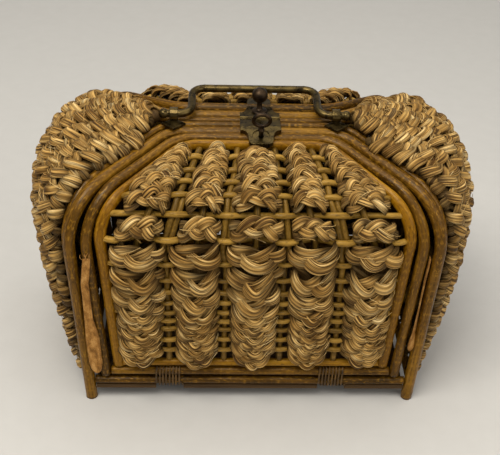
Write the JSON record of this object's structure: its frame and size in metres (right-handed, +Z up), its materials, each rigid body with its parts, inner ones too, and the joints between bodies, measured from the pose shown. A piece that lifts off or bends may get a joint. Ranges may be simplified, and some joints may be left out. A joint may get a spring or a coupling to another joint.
{
  "type": "straw sewing box",
  "caption": "Travelling-bag shaped sewing basket of bent cane and plaited straw with a drop-front door, bail handle and lock.",
  "frame": {"origin": "on the floor under the middle of the basket, between its four feet", "axes": "+Z up, +X to the right across the width, the door faces -Y"},
  "size_m": [0.3218, 0.1897, 0.2146],
  "materials": {
    "dark_cane": "satin varnish",
    "amber_cane": "satin varnish",
    "thin_cane": "satin",
    "straw": "matt plaited straw",
    "board": "matt",
    "bronze": "dark patina",
    "dark_iron": "dark",
    "leather": "worn"
  },
  "bodies": {
    "basket_body": {"front_body_hoop": "dark_cane", "rear_body_hoop": "dark_cane", "edge_cane_front_left": "dark_cane", "edge_cane_front_right": "dark_cane", "edge_cane_rear_left": "dark_cane", "edge_cane_rear_right": "dark_cane", "front_base_rail": "dark_cane", "rear_base_rail": "dark_cane", "left_base_rail": "dark_cane", "right_base_rail": "dark_cane", "bottom_board": "board", "rear_outer_hoop": "dark_cane", "rear_outer_rail": "dark_cane", "rear_inner_hoop": "amber_cane", "rear_inner_rail": "amber_cane", "rear_lattice": "thin_cane", "rear_straw_column_1": "straw", "rear_straw_column_2": "straw", "rear_straw_column_3": "straw", "rear_straw_column_4": "straw", "rear_straw_column_5": "straw", "gusset_lattice_left": "thin_cane", "gusset_lattice_right": "thin_cane", "gusset_straw_left_1": "straw", "gusset_straw_left_2": "straw", "gusset_straw_left_3": "straw", "gusset_straw_left_4": "straw", "gusset_straw_left_5": "straw", "gusset_straw_right_1": "straw", "gusset_straw_right_2": "straw", "gusset_straw_right_3": "straw", "gusset_straw_right_4": "straw", "gusset_straw_right_5": "straw", "hinge_winding_left": "dark_iron", "hinge_winding_right": "dark_iron", "lock_rear_plate": "bronze", "handle_ear_left": "bronze", "handle_ear_right": "bronze", "strap_right": "leather"},
    "door": {"door_outer_hoop": "dark_cane", "door_outer_rail": "dark_cane", "door_inner_hoop": "amber_cane", "door_inner_rail": "amber_cane", "door_lattice": "thin_cane", "door_straw_column_1": "straw", "door_straw_column_2": "straw", "door_straw_column_3": "straw", "door_straw_column_4": "straw", "door_straw_column_5": "straw", "lock_case": "bronze", "strap_left": "leather"},
    "handle": {"handle_bail": "bronze"},
    "hasp": {"hasp": "bronze"},
    "key": {"key": "dark_iron"},
    "knob": {"lock_knob": "dark_iron"}
  },
  "joints": [
    {"name": "door_hinge", "type": "hinge", "parent": "basket_body", "child": "door", "pos_m": [0, -0.07901, 0.0266], "axis": [1, 0, 0], "range_deg": [0, 80]},
    {"name": "handle_hinge", "type": "hinge", "parent": "basket_body", "child": "handle", "pos_m": [0, -0.003, 0.1986], "axis": [1, 0, 0], "range_deg": [0, 115]},
    {"name": "hasp_hinge", "type": "hinge", "parent": "basket_body", "child": "hasp", "pos_m": [0.0035, 0, 0.1944], "axis": [-1, 0, 0], "range_deg": [0, 80]},
    {"name": "key_turn", "type": "hinge", "parent": "door", "child": "key", "pos_m": [0.0035, -0.02577, 0.19152], "axis": [0, -0.2594, 0.9658], "range_deg": [0, 90]},
    {"name": "knob_turn", "type": "hinge", "parent": "basket_body", "child": "knob", "pos_m": [0.0035, 0.01, 0.1943], "axis": [0, 0, 1], "range_deg": [0, 90]}
  ]
}
